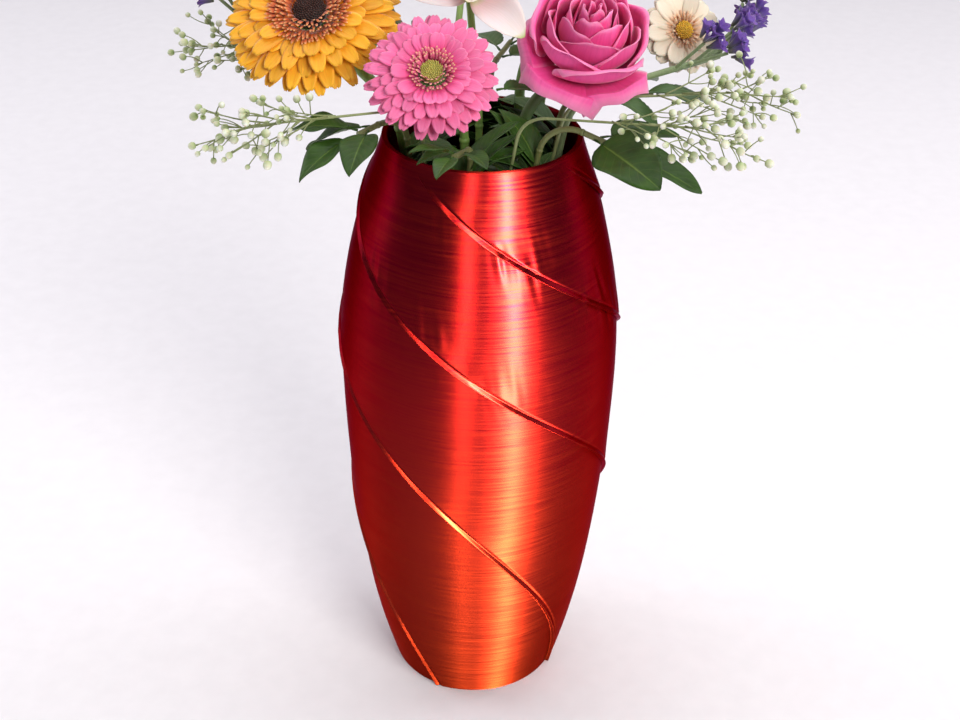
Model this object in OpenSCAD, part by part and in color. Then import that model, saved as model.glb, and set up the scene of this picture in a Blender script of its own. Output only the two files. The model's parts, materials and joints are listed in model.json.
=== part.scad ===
// Hand-tied bouquet of cut flowers standing in a tall printed vase.
// Origin: centre of the vase's flat underside. +Z is up, -Y is the front.
// Angles around the vase are measured from +X, so -90 is the front.

/* [Vase] */
// Height of the vase
vase_h = 370; // [330:5:400]
// Radius of the foot
foot_r = 57; // [50:1:60]
// Largest outside radius of the belly
belly_r = 84.5; // [78:0.5:95]
// Height of the widest part of the belly
belly_z = 240; // [200:5:260]
// Outside radius of the rim
rim_r = 57.5; // [56:0.5:60]
// Thickness of the printed wall
wall = 3; // [2:0.5:4]
// Thickness of the floor
floor_t = 4; // [3:0.5:6]

/* [Bunch] */
// Radius of the ring where the outer stems stand
foot_ring = 39; // [34:1:42]
// Radius of the ring where the outer stems leave the vase
mouth_ring = 45; // [40:1:46]
// Radius of the ring where the inner stems stand
core_foot_ring = 13; // [10:1:15]
// Radius of the ring where the inner stems leave the vase
core_mouth_ring = 23; // [18:1:26]
// Turn of the outer stems between foot and mouth, in degrees
outer_turn = 115; // [90:5:130]
// Turn of the inner stems between foot and mouth, in degrees
core_turn = 100; // [80:5:120]

/* [Flowers] */
// Diameter of the large gerberas
gerbera_d = 98; // [80:1:104]
// Diameter of the small pink gerbera
pink_gerbera_d = 73; // [60:1:78]
// Diameter of the cream gerbera
cream_gerbera_d = 50; // [40:1:56]
// Diameter of the hot-pink rose
rose_d = 76; // [66:1:80]
// Diameter of the blush rose
blush_rose_d = 70; // [60:1:76]
// Length of an alstroemeria tepal
tepal_l = 38; // [34:1:42]
// Thickness of petals and leaves
leaf_t = 1; // [0.8:0.1:1.4]

/* [Hidden] */
$fn = 48;
// Every node, in the order in which the object comes apart
GERBERAS = ["orange_gerbera", "pink_gerbera", "cream_gerbera", "amber_gerbera"];
ROSES = ["pink_rose", "blush_rose"];
ALSTROEMERIAS = ["front_alstroemeria", "back_alstroemeria"];
STATICES = ["right_statice", "left_statice"];
GYPSOPHILAS = [
    "front_left_gypsophila", "back_left_gypsophila",
    "front_right_gypsophila", "back_right_gypsophila"
];
FOLIAGES = [
    "front_foliage", "left_foliage", "right_foliage", "far_right_foliage", "back_foliage"
];

// Colours
vase_red = [0.72, 0.05, 0.06];
stem_green = [0.45, 0.58, 0.25];
leaf_green = [0.16, 0.34, 0.14];
grey_green = [0.45, 0.52, 0.36];

// Stems
foot_z = floor_t + 1;           // the cut ends stand just clear of the floor
low_bend = 4;                   // how far above the rim the stout stems bend
high_bend = 14;                 // and the wiry ones, which clear the leaves
wiry_r = 1.5;                   // stems thinner than this are wiry
outer = [foot_ring, mouth_ring, outer_turn];
core = [core_foot_ring, core_mouth_ring, core_turn];
centre = [2, 2, 0];

// One row per stem: ring, angle at the mouth, stem radius, bend radius, tip of the
// stem, and the direction that its head looks in: angle around the vase, elevation
function stem_of(n) =
    n == "orange_gerbera"         ? [outer, -174, 3.0, 34, [-92, 10, 426], -98, 52] :
    n == "pink_gerbera"           ? [core, -115, 2.4, 34, [-26, -40, 414], -92, 48] :
    n == "cream_gerbera"          ? [outer, 42, 1.8, 30, [112, 56, 409], -70, 34] :
    n == "amber_gerbera"          ? [outer, 62, 3.0, 40, [48, 88, 440], 70, 48] :
    n == "pink_rose"              ? [core, -20, 3.2, 34, [54, -6, 410], -80, 62] :
    n == "blush_rose"             ? [outer, 128, 3.2, 40, [-60, 74, 420], 125, 58] :
    n == "front_alstroemeria"     ? [centre, -160, 2.0, 60, [-8, 10, 442], -80, 42] :
    n == "back_alstroemeria"      ? [outer, 106, 2.0, 34, [-14, 116, 412], 95, 40] :
    n == "right_statice"          ? [outer, -6, 1.8, 24, [134, 40, 402], 14, 34] :
    n == "left_statice"           ? [outer, 148, 1.8, 24, [-136, 68, 402], 150, 48] :
    n == "front_left_gypsophila"  ? [outer, -134, 1.4, 18, [-116, -78, 404], -150, 0] :
    n == "back_left_gypsophila"   ? [outer, 166, 1.4, 18, [-149, 42, 403], 170, 0] :
    n == "front_right_gypsophila" ? [outer, -69, 1.4, 18, [112, -72, 404], -35, 0] :
    n == "back_right_gypsophila"  ? [outer, -27, 1.4, 18, [140, -16, 402], -8, 0] :
    n == "front_foliage"          ? [outer, -98, 1.6, 9, [-14, -74, 387], -70, 0] :
    n == "left_foliage"           ? [outer, -154, 1.6, 16, [-66, -40, 384], -150, 0] :
    n == "right_foliage"          ? [outer, -48, 1.6, 18, [70, -46, 382], -30, 0] :
    n == "far_right_foliage"      ? [outer, 16, 1.6, 16, [96, 22, 386], 12, 0] :
                                    [outer, 84, 1.6, 18, [16, 92, 390], 80, 0];

function polar(r, a, z) = [r * cos(a), r * sin(a), z];
function unit(v) = v / norm(v);
function look(a, e) = [cos(e) * cos(a), cos(e) * sin(a), sin(e)];

function stem_foot(s) = polar(s[0][0], s[1] - s[0][2], foot_z);
function stem_mouth(s) = polar(s[0][1], s[1], vase_h);
function stem_dir(s) = unit(stem_mouth(s) - stem_foot(s));
function bend_z(s) = vase_h + (s[2] < wiry_r ? high_bend : low_bend);
function stem_bend(s) =
    stem_foot(s) + stem_dir(s) * (bend_z(s) - foot_z) / stem_dir(s)[2];
function stem_tip(s) = s[4];

// The bend is a circular arc, tangent to the straight stem below it and to the
// straight stalk that runs on to the tip. Everything is worked out in the plane
// of the arc, with x towards its centre and y along the stem.
function reach(s) = stem_tip(s) - stem_bend(s);
function inward(s) = unit(reach(s) - stem_dir(s) * (reach(s) * stem_dir(s)));
function reach_x(s) = reach(s) * inward(s) - s[3];
function reach_y(s) = reach(s) * stem_dir(s);
function stalk_l(s) = sqrt(pow(reach_x(s), 2) + pow(reach_y(s), 2) - pow(s[3], 2));
function turn_of(s) = atan2(stalk_l(s), -s[3]) - atan2(reach_y(s), reach_x(s));
function bent_point(s, a) =
    stem_bend(s) + s[3] * (sin(a) * stem_dir(s) + (1 - cos(a)) * inward(s));
function bent_dir(s, a) = cos(a) * stem_dir(s) + sin(a) * inward(s);
// A point on the stalk beyond the bend, u from 0 at the bend's end to 1 at the tip
function stalk_point(s, u) = bent_point(s, turn_of(s)) + u * stalk_l(s) * stalk_dir(s);
function stalk_dir(s) = bent_dir(s, turn_of(s));

// Moves children so that their origin is at p and their Z axis looks along v
module aim(p, v) {
    turn = atan2(v[1], v[0]);
    tilt = acos(v[2] / norm(v));
    translate(p) rotate([0, tilt, turn]) children();
}

// A rod from p to q
module rod(p, q, r) {
    aim(p, q - p) cylinder(r = r, h = norm(q - p), $fn = 24);
}

// A whole stem: straight part, bend and stalk, with a swollen knot at each joint
knot = 1.2;
knot_gap = 0.3;

module bend(s) {
    x = -inward(s);
    y = stem_dir(s);
    z = cross(x, y);
    c = stem_bend(s) + inward(s) * s[3];
    skip = knot_gap * s[2] / s[3] * 180 / PI;
    multmatrix([
        [x[0], y[0], z[0], c[0]],
        [x[1], y[1], z[1], c[1]],
        [x[2], y[2], z[2], c[2]]
    ])
        rotate(skip)
            rotate_extrude(angle = turn_of(s) - 2 * skip, $fn = 96)
                translate([s[3], 0]) circle(r = s[2], $fn = 24);
}

module stem(s) {
    gap = knot_gap * s[2];
    stalk_start = stalk_point(s, 0);
    rod(stem_foot(s), stem_bend(s) - gap * stem_dir(s), s[2]);
    translate(stem_bend(s)) sphere(r = knot * s[2], $fn = 32);
    bend(s);
    translate(stalk_start) sphere(r = knot * s[2], $fn = 32);
    rod(stalk_start + gap * stalk_dir(s), stem_tip(s), s[2]);
}

// A pointed leaf blade along +X, flat in XY
module blade(l, w) {
    r = (l * l + w * w) / (4 * w);
    linear_extrude(leaf_t)
        intersection() {
            translate([l / 2, r - w / 2]) circle(r = r, $fn = 96);
            translate([l / 2, w / 2 - r]) circle(r = r, $fn = 96);
        }
}

// A leaf on a short petiole that grows from point p of a stem of radius r, along v
petiole_l = 4;
module leaf(p, v, r, l, w) {
    rod(p + v * (r + 0.4), p + v * (r + petiole_l + 1), 0.45 * leaf_t);
    aim(p + v * (r + petiole_l), v)
        rotate([0, -90, 0])
            translate([0, 0, -leaf_t / 2]) blade(l, w);
}

// Vase
function bezier(p, t) =
    pow(1 - t, 3) * p[0] + 3 * t * pow(1 - t, 2) * p[1]
    + 3 * t * t * (1 - t) * p[2] + pow(t, 3) * p[3];
below_belly = [
    [foot_r, 0], [foot_r + 16, belly_z / 4], [belly_r, belly_z * 0.62], [belly_r, belly_z]
];
above_belly = [
    [belly_r, belly_z], [belly_r, belly_z + 50], [rim_r + 10, vase_h - 30], [rim_r, vase_h]
];
profile_steps = 10;
side = concat(
    [for (i = [0 : profile_steps - 1]) bezier(below_belly, i / profile_steps)],
    [for (i = [0 : profile_steps]) bezier(above_belly, i / profile_steps)]
);

module vase() {
    color(vase_red)
        difference() {
            rotate_extrude($fn = 128) polygon(concat([[0, 0]], side, [[0, vase_h]]));
            rotate_extrude($fn = 128)
                polygon(concat(
                    [[0, floor_t]],
                    [for (p = side) [p[0] - wall, max(p[1], floor_t)]],
                    [[rim_r - wall, vase_h + 1], [0, vase_h + 1]]
                ));
        }
}

// Gerberas: the head's origin is the tip of the stem, its Z axis the way it looks
function gerbera_d_of(n) =
    n == "pink_gerbera" ? pink_gerbera_d :
    n == "cream_gerbera" ? cream_gerbera_d : gerbera_d;
function ray_colour(n) =
    n == "orange_gerbera" ? [1.0, 0.62, 0.10] :
    n == "pink_gerbera" ? [0.95, 0.35, 0.62] :
    n == "cream_gerbera" ? [0.97, 0.90, 0.78] : [0.98, 0.45, 0.16];
function disc_colour(n) =
    n == "pink_gerbera" ? [0.70, 0.72, 0.25] :
    n == "cream_gerbera" ? [0.90, 0.65, 0.10] : [0.16, 0.05, 0.04];

module head(n) {
    s = stem_of(n);
    aim(stem_tip(s), look(s[5], s[6])) children();
}

module gerbera_stem(n) {
    color(stem_green) stem(stem_of(n));
}

module gerbera_involucre(n) {
    d = gerbera_d_of(n);
    color(leaf_green)
        difference() {
            head(n) cylinder(r1 = d * 0.05, r2 = d * 0.16, h = d * 0.10);
            stem(stem_of(n));
        }
}

// A ring of round-ended petals as one scalloped plate
module petal_ring(r, petals, notch) {
    steps = 6 * petals;
    linear_extrude(leaf_t)
        polygon([
            for (i = [0 : steps - 1])
                let (edge = r - notch * pow(abs(cos(i * 30)), 4), a = i * 360 / steps)
                    [edge * cos(a), edge * sin(a)]
        ]);
}

module gerbera_rays(n) {
    d = gerbera_d_of(n);
    petals = n == "cream_gerbera" ? 14 : 24;
    color(ray_colour(n))
        head(n)
            for (tier = [0 : 2])
                translate([0, 0, d * 0.10 + tier * leaf_t])
                    rotate(tier * 180 / petals)
                        petal_ring(d / 2 - tier * d * 0.09, petals, d * 0.07);
}

module gerbera_disc(n) {
    d = gerbera_d_of(n);
    color(disc_colour(n))
        head(n)
            translate([0, 0, d * 0.10 + 3 * leaf_t])
                cylinder(r1 = d * 0.15, r2 = d * 0.11, h = d * 0.05);
}

// Roses
function rose_d_of(n) = n == "pink_rose" ? rose_d : blush_rose_d;
function rose_colour(n) = n == "pink_rose" ? [0.88, 0.25, 0.55] : [0.97, 0.80, 0.80];
cup_gap = 0.5;

module rose_stem(n) {
    color(stem_green) stem(stem_of(n));
}

module rose_calyx(n) {
    d = rose_d_of(n);
    color(leaf_green)
        difference() {
            head(n) {
                cylinder(r1 = d * 0.05, r2 = d * 0.11, h = d * 0.09);
                for (i = [0 : 4])
                    rotate(i * 72)
                        translate([d * 0.06, 0, d * 0.04])
                            rotate([0, 6, 0]) blade(d * 0.28, d * 0.08);
            }
            stem(stem_of(n));
        }
}

// The open outer petals as a deep bowl, thicker towards its foot
module rose_outer_petals(n) {
    d = rose_d_of(n);
    color(rose_colour(n))
        head(n)
            rotate_extrude($fn = 96)
                polygon([
                    [0, d * 0.10], [d * 0.20, d * 0.12], [d * 0.38, d * 0.22],
                    [d * 0.50, d * 0.40], [d * 0.49, d * 0.46], [d * 0.42, d * 0.44],
                    [d * 0.33, d * 0.30], [d * 0.18, d * 0.20], [0, d * 0.18]
                ]);
}

module rose_inner_petals(n) {
    d = rose_d_of(n);
    color(rose_colour(n))
        head(n)
            translate([0, 0, cup_gap])
                rotate_extrude($fn = 96)
                    polygon([
                        [0, d * 0.18], [d * 0.18, d * 0.20], [d * 0.32, d * 0.30],
                        [d * 0.36, d * 0.44], [d * 0.30, d * 0.58], [d * 0.18, d * 0.64],
                        [0, d * 0.60]
                    ]);
}

// Two leaves below the head, one on either side
module rose_leaves(n) {
    s = stem_of(n);
    color(leaf_green)
        for (i = [0 : 1]) {
            v = look(s[5] + 75 - 150 * i, 1);
            slope = norm(cross(v, stalk_dir(s)));
            leaf(stalk_point(s, 0.14 + 0.14 * i), v, (s[2] * knot + 0.5) / slope, 28, 16);
        }
}

// Alstroemerias: one open funnel-shaped flower each
throat_r = 3;
throat_h = 4;
tepal_turn = 35;  // the lowest outer tepal hangs to one side

module alstroemeria_stem(n) {
    color(stem_green) {
        stem(stem_of(n));
        head(n)
            translate([0, 0, -1])
                cylinder(r1 = stem_of(n)[2] * 0.9, r2 = throat_r, h = throat_h + 1);
    }
}

module tepals(n, l, w, lean, turn) {
    head(n)
        for (k = [0 : 2])
            rotate(k * 120 + turn)
                translate([throat_r, 0, throat_h + 0.2])
                    rotate([0, lean - 90, 0]) blade(l, w);
}

module alstroemeria_outer_tepals(n) {
    color([0.98, 0.86, 0.86]) tepals(n, tepal_l, tepal_l * 0.55, 52, tepal_turn);
}

module alstroemeria_inner_tepals(n) {
    color([0.98, 0.90, 0.86]) tepals(n, tepal_l * 0.80, tepal_l * 0.32, 25, tepal_turn + 60);
}

module alstroemeria_stamens(n) {
    color([0.85, 0.65, 0.60])
        head(n)
            for (k = [0 : 4])
                rotate(k * 72)
                    translate([1.2, 0, throat_h + 0.2]) rotate([0, 8, 0]) {
                        cylinder(r = 0.4, h = tepal_l * 0.6, $fn = 16);
                        translate([0, 0, tepal_l * 0.6]) sphere(r = 1.2, $fn = 24);
                    }
}

// Statice: winged stalks that fan out and carry small papery cups
sprigs = 6;
function sprig_u(i) = 0.62 + 0.076 * i;
function sprig_aim(n, i) =
    let (s = stem_of(n))
    look(s[5] + 16 * (i - 2.5), s[6] + 14 * cos(i * 150));
function sprig_tip(n, i) =
    stalk_point(stem_of(n), sprig_u(i)) + (24 + 2 * i) * sprig_aim(n, i);

module statice_stem(n) {
    color(grey_green) {
        stem(stem_of(n));
        for (i = [0 : sprigs - 1])
            rod(stalk_point(stem_of(n), sprig_u(i)), sprig_tip(n, i), 1);
    }
}

module statice_florets(n) {
    color([0.40, 0.24, 0.68])
        for (i = [0 : sprigs - 1])
            aim(sprig_tip(n, i), sprig_aim(n, i))
                for (k = [0 : 2])
                    rotate(k * 120)
                        translate([3, 0, 0.5]) rotate([0, 14, 0])
                            cylinder(r1 = 1.2, r2 = 3, h = 9, $fn = 24);
}

// Gypsophila: hair-thin twigs all round the arching stem, each with a bud at its end
gyp_twigs = 11;
twig_r = 0.5;
twig_start = 6;   // the twigs lean along the stem, so this far out they just clear it
bud_r = 3;
golden = 137.5;
function twig_root(n, i) = stalk_point(stem_of(n), 0.42 + 0.58 * i / (gyp_twigs - 1));
function twig_l(i) = 24 + 5 * (i % 3);
function twig_aim(n, i) =
    let (
        t = stalk_dir(stem_of(n)),
        side = unit(cross(t, [0, 0, 1])),
        rise = cross(side, t),
        a = golden * i
    )
    unit(1.4 * t + cos(a) * side + 0.6 * sin(a) * rise);

module gypsophila_stem(n) {
    color(grey_green) stem(stem_of(n));
}

module gypsophila_buds(n) {
    color([0.85, 0.88, 0.75])
        for (i = [0 : gyp_twigs - 1])
            aim(twig_root(n, i), twig_aim(n, i)) {
                translate([0, 0, twig_start]) cylinder(r = twig_r, h = twig_l(i) - twig_start, $fn = 16);
                translate([0, 0, twig_l(i) + bud_r * 0.8]) sphere(r = bud_r, $fn = 24);
            }
}

// Foliage: leaves on either side of the arching twig in turn, and one at its tip
leaves_per_twig = 4;
leaf_rise = 0.22;  // each leaf points higher than the one before it
slant = 1.8;       // side leaves start further out, as they lean along the twig
function foliage_leaf(n) =
    n == "right_foliage" ? [44, 24] : n == "front_foliage" ? [22, 12] : [34, 20];

module foliage_twig(n) {
    color(stem_green) stem(stem_of(n));
}

module foliage_leaves(n) {
    s = stem_of(n);
    last = leaves_per_twig - 1;
    t = stalk_dir(s);
    side = unit(cross(t, [0, 0, 1]));
    color(leaf_green)
        for (i = [0 : last]) {
            sign = i % 2 == 0 ? 1 : -1;
            up = [0, 0, leaf_rise * i];
            v = i == last ? t : unit(t + 0.9 * sign * side + up);
            leaf(
                stalk_point(s, 0.1 + 0.9 * i / last), v, i == last ? s[2] : slant * s[2],
                foliage_leaf(n)[0], foliage_leaf(n)[1]
            );
        }
}

vase();

for (n = GERBERAS) {
    gerbera_stem(n);
    gerbera_involucre(n);
    gerbera_rays(n);
    gerbera_disc(n);
}
for (n = ROSES) {
    rose_stem(n);
    rose_calyx(n);
    rose_outer_petals(n);
    rose_inner_petals(n);
    rose_leaves(n);
}
for (n = ALSTROEMERIAS) {
    alstroemeria_stem(n);
    alstroemeria_outer_tepals(n);
    alstroemeria_inner_tepals(n);
    alstroemeria_stamens(n);
}
for (n = STATICES) {
    statice_stem(n);
    statice_florets(n);
}
for (n = GYPSOPHILAS) {
    gypsophila_stem(n);
    gypsophila_buds(n);
}
for (n = FOLIAGES) {
    foliage_twig(n);
    foliage_leaves(n);
}
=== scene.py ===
import json
import math

import bpy
import numpy as np
from mathutils.kdtree import KDTree
from mathutils import Matrix, Vector

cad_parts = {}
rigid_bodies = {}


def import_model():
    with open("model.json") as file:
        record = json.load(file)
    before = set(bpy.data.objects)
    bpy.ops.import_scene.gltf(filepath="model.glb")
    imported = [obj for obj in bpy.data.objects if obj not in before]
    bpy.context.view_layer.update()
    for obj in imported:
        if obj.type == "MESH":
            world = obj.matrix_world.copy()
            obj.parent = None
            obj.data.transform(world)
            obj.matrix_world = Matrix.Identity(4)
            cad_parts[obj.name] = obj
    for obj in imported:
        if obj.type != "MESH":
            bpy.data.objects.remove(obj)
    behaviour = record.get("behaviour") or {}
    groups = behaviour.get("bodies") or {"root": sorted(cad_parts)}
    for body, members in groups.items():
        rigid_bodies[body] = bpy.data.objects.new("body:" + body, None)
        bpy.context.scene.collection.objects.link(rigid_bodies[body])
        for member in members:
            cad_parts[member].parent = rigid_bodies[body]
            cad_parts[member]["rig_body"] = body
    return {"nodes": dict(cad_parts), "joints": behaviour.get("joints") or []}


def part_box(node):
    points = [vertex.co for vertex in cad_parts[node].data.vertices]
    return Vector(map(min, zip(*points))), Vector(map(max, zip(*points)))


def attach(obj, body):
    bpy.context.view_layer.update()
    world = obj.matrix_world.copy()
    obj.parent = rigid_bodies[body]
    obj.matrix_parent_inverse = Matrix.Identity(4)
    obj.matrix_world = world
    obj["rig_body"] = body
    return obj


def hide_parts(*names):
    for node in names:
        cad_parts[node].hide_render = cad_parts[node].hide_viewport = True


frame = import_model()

MM = 0.001
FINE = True
PETAL_THICK = 0.45 * MM
FLORET_THICK = 0.35 * MM
LEAF_THICK = 0.5 * MM      # tepals too
DISC_TURN = 2.39996         # radians from one bud of a disc to the next, the golden angle
ROSE_TURN = 137.5           # degrees from one petal of a rose to the next
rng = np.random.default_rng(7)
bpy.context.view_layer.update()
bpy.context.scene.view_settings.view_transform = "Standard"

# ---------------------------------------------------------------- camera and lights

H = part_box("vase")[1].z                   # height of the vase, which scales the view
CAMERA_AT = Vector((0.002, -2.11, 1.885)) * H
LOOK_AT = Vector((0.002, 0.0, 0.597)) * H
ROLL = math.radians(0.92)


def add_camera():
    data = bpy.data.cameras.new("camera")
    data.lens, data.sensor_width = 56.25, 36.0
    forward = (LOOK_AT - CAMERA_AT).normalized()
    right = forward.cross(Vector((0, 0, 1))).normalized()
    up = right.cross(forward)
    rolled = right * math.cos(ROLL) + up * math.sin(ROLL)
    turned = up * math.cos(ROLL) - right * math.sin(ROLL)
    pose = Matrix((rolled, turned, -forward)).transposed().to_4x4()
    pose.translation = CAMERA_AT
    camera = bpy.data.objects.new("camera", data)
    camera.matrix_world = pose
    bpy.context.scene.collection.objects.link(camera)
    bpy.context.scene.camera = camera


def add_light(name, at, target, size, power, colour, only=None):
    """A soft rectangular lamp; with only, it lights that one piece and nothing by bounce."""
    data = bpy.data.lights.new(name, "AREA")
    data.shape, (data.size, data.size_y) = "RECTANGLE", size
    data.energy, data.color = power, colour
    light = bpy.data.objects.new(name, data)
    light.location = at
    light.rotation_euler = (Vector(target) - Vector(at)).to_track_quat("-Z", "Y").to_euler()
    light.visible_camera = False
    bpy.context.scene.collection.objects.link(light)
    if only:
        data.cycles.max_bounces = 0
        lit = bpy.data.collections.new(name + "_lights")
        lit.objects.link(only)
        light.light_linking.receiver_collection = lit


# ---------------------------------------------------------------- material nodes

class Finish:
    """A node material built step by step; numbers and sockets are both accepted."""

    def __init__(self, name):
        self.material = bpy.data.materials.new(name)
        self.material.use_nodes = True
        self.tree = self.material.node_tree
        self.tree.nodes.clear()
        self.shader = self.tree.nodes.new("ShaderNodeBsdfPrincipled")
        output = self.tree.nodes.new("ShaderNodeOutputMaterial")
        self.tree.links.new(self.shader.outputs[0], output.inputs["Surface"])

    def put(self, socket, value):
        if isinstance(value, bpy.types.NodeSocket):
            self.tree.links.new(value, socket)
        elif isinstance(value, tuple) and len(value) == 3 and len(socket.default_value) == 4:
            socket.default_value = (*value, 1.0)
        else:
            socket.default_value = value

    def set(self, **values):
        for name, value in values.items():
            self.put(self.shader.inputs[name.replace("_", " ")], value)

    def node(self, kind, inputs, output=0, **options):
        made = self.tree.nodes.new(kind)
        for name, value in options.items():
            setattr(made, name, value)
        for name, value in inputs.items():
            self.put(made.inputs[name], value)
        return made.outputs[output]

    def math(self, operation, a, b=0.0):
        return self.node("ShaderNodeMath", {0: a, 1: b}, operation=operation)

    def coords(self, scale):
        place = self.node("ShaderNodeTexCoord", {}, "Object")
        return self.node("ShaderNodeMapping", {"Vector": place, "Scale": scale})

    def uv(self):
        place = self.node("ShaderNodeUVMap", {}, uv_map="UVMap")
        parts = self.tree.nodes.new("ShaderNodeSeparateXYZ")
        self.put(parts.inputs[0], place)
        return parts.outputs[0], parts.outputs[1]

    def height(self):
        place = self.node("ShaderNodeTexCoord", {}, "Object")
        return self.node("ShaderNodeSeparateXYZ", {0: place}, 2)

    def tone(self):
        return self.node("ShaderNodeAttribute", {}, "Fac", attribute_name="tone")

    def noise(self, vector, scale, detail=3.0, rough=0.55):
        return self.node("ShaderNodeTexNoise", {
            "Vector": vector, "Scale": scale, "Detail": detail, "Roughness": rough})

    def span(self, value, low, high, out_low=0.0, out_high=1.0):
        return self.node("ShaderNodeMapRange", {
            "Value": value, "From Min": low, "From Max": high,
            "To Min": out_low, "To Max": out_high})

    def mix(self, share, first, second, blend="MIX"):
        made = self.tree.nodes.new("ShaderNodeMix")
        made.data_type, made.blend_type = "RGBA", blend
        self.put(made.inputs[0], share)
        self.put(made.inputs[6], first)
        self.put(made.inputs[7], second)
        return made.outputs[2]

    def ramp(self, value, stops):
        made = self.tree.nodes.new("ShaderNodeValToRGB")
        self.put(made.inputs[0], value)
        band = made.color_ramp
        while len(band.elements) < len(stops):
            band.elements.new(0.5)
        for element, (place, *colour) in zip(band.elements, stops):
            element.position, element.color = place, (*colour, 1.0)
        return made.outputs[0]

    def bump(self, height, strength, distance):
        self.put(self.shader.inputs["Normal"], self.node("ShaderNodeBump", {
            "Height": height, "Strength": strength, "Distance": distance}))


# ---------------------------------------------------------------- mesh building

class Skin:
    """Collects closed grids, tubes and balls and turns them into one mesh object."""

    def __init__(self):
        self.points, self.uvs, self.tones, self.faces, self.slots = [], [], [], [], []
        self.count = 0

    def _add(self, points, uvs, tone, faces, slot):
        self.points.append(points)
        self.uvs.append(uvs)
        self.tones.append(np.full(len(points), tone))
        self.faces.extend((np.asarray(faces) + self.count).tolist())
        self.slots.extend([slot] * len(faces))
        self.count += len(points)

    def sheet(self, grid, thick, tone=0.5, slot=0):
        """A thin closed solid around a grid of points, thinner towards its edges."""
        rows, cols = grid.shape[:2]
        along = np.gradient(grid, axis=0)
        across = np.gradient(grid, axis=1)
        normal = np.cross(along, across)
        normal /= np.maximum(np.linalg.norm(normal, axis=2, keepdims=True), 1e-12)
        edge = np.full((rows, cols, 1), 0.5)
        edge[0], edge[-1], edge[:, 0], edge[:, -1] = 0.2, 0.2, 0.2, 0.2
        top = (grid + normal * edge * thick).reshape(-1, 3)
        low = (grid - normal * edge * thick).reshape(-1, 3)
        v, u = np.meshgrid(np.linspace(0, 1, rows), np.linspace(0, 1, cols), indexing="ij")
        uv = np.stack([u, v], axis=2).reshape(-1, 2)
        index = np.arange(rows * cols).reshape(rows, cols)
        a, b, c, d = index[:-1, :-1], index[1:, :-1], index[1:, 1:], index[:-1, 1:]
        quads = np.stack([a, b, c, d], axis=2).reshape(-1, 4)
        size = rows * cols
        rim = np.concatenate([index[0, :], index[1:, -1], index[-1, -2::-1], index[-2:0:-1, 0]])
        ahead = np.roll(rim, -1)
        walls = np.stack([rim, ahead, ahead + size, rim + size], axis=1)
        faces = np.concatenate([quads, quads[:, ::-1] + size, walls])
        self._add(np.concatenate([top, low]), np.concatenate([uv, uv]), tone, faces, slot)

    def ring_stack(self, rings, tone=0.5, slot=0):
        """A closed solid through a stack of rings of points, capped at both ends."""
        rows, cols = rings.shape[:2]
        v, u = np.meshgrid(np.linspace(0, 1, rows), np.linspace(0, 1, cols), indexing="ij")
        points = np.concatenate([rings.reshape(-1, 3), rings[0].mean(0)[None], rings[-1].mean(0)[None]])
        uv = np.concatenate([np.stack([u, v], axis=2).reshape(-1, 2), [[0.5, 0]], [[0.5, 1]]])
        index = np.arange(rows * cols).reshape(rows, cols)
        ahead = np.roll(index, -1, axis=1)
        quads = np.stack([index[:-1], ahead[:-1], ahead[1:], index[1:]], axis=2).reshape(-1, 4)
        first, last = rows * cols, rows * cols + 1
        caps = [[first, b, a] for a, b in zip(index[0], ahead[0])]
        caps += [[last, a, b] for a, b in zip(index[-1], ahead[-1])]
        self._add(points, uv, tone, quads, slot)
        self.count -= len(points)
        self.faces.extend((np.asarray(caps) + self.count).tolist())
        self.slots.extend([slot] * len(caps))
        self.count += len(points)

    def tube(self, path, radii, sides=8, tone=0.5, slot=0):
        path = np.asarray(path, float)
        along = np.gradient(path, axis=0)
        along /= np.linalg.norm(along, axis=1, keepdims=True)
        side = np.cross(along[0], [0.31, 0.17, 0.93])
        turn = np.linspace(0, 2 * np.pi, sides, endpoint=False)
        rings = []
        for centre, way, radius in zip(path, along, np.broadcast_to(radii, len(path))):
            side = side - way * (side @ way)
            side /= np.linalg.norm(side)
            other = np.cross(way, side)
            rings.append(centre + radius * (
                np.cos(turn)[:, None] * side + np.sin(turn)[:, None] * other))
        self.ring_stack(np.array(rings), tone, slot)

    def pod(self, centre, way, radius, length, outline, sides=10, tone=0.5, slot=0):
        """A body of revolution about way; outline gives its radius along its length."""
        frame3 = axes_about(way)
        turn = np.linspace(0, 2 * np.pi, sides, endpoint=False)
        rings = []
        for place, share in outline:
            local = np.stack([
                radius * share * np.cos(turn), radius * share * np.sin(turn),
                np.full(sides, length * place)], axis=1)
            rings.append(centre + local @ frame3.T)
        self.ring_stack(np.array(rings), tone, slot)

    def build(self, name, materials):
        mesh = bpy.data.meshes.new(name)
        mesh.from_pydata(np.concatenate(self.points).tolist(), [], self.faces)
        corner = np.zeros(len(mesh.loops), np.int32)
        mesh.loops.foreach_get("vertex_index", corner)
        layer = mesh.uv_layers.new(name="UVMap")
        layer.data.foreach_set("uv", np.concatenate(self.uvs)[corner].astype(np.float32).ravel())
        tone = mesh.attributes.new("tone", "FLOAT", "POINT")
        tone.data.foreach_set("value", np.concatenate(self.tones).astype(np.float32))
        mesh.polygons.foreach_set("material_index", np.array(self.slots, np.int32))
        mesh.polygons.foreach_set("use_smooth", np.ones(len(mesh.polygons), bool))
        for material in materials:
            mesh.materials.append(material)
        made = bpy.data.objects.new(name, mesh)
        bpy.context.scene.collection.objects.link(made)
        return made


def unit(v):
    return np.asarray(v, float) / np.linalg.norm(v)


def axes_about(way, up=(0, 0, 1)):
    """Columns x, y, z with z along way, x level and y as near to up as it can be."""
    z = unit(way)
    x = np.cross(up, z)
    x = unit(x) if np.linalg.norm(x) > 1e-6 else np.array([1.0, 0, 0])
    return np.stack([x, np.cross(z, x), z], axis=1)


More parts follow.
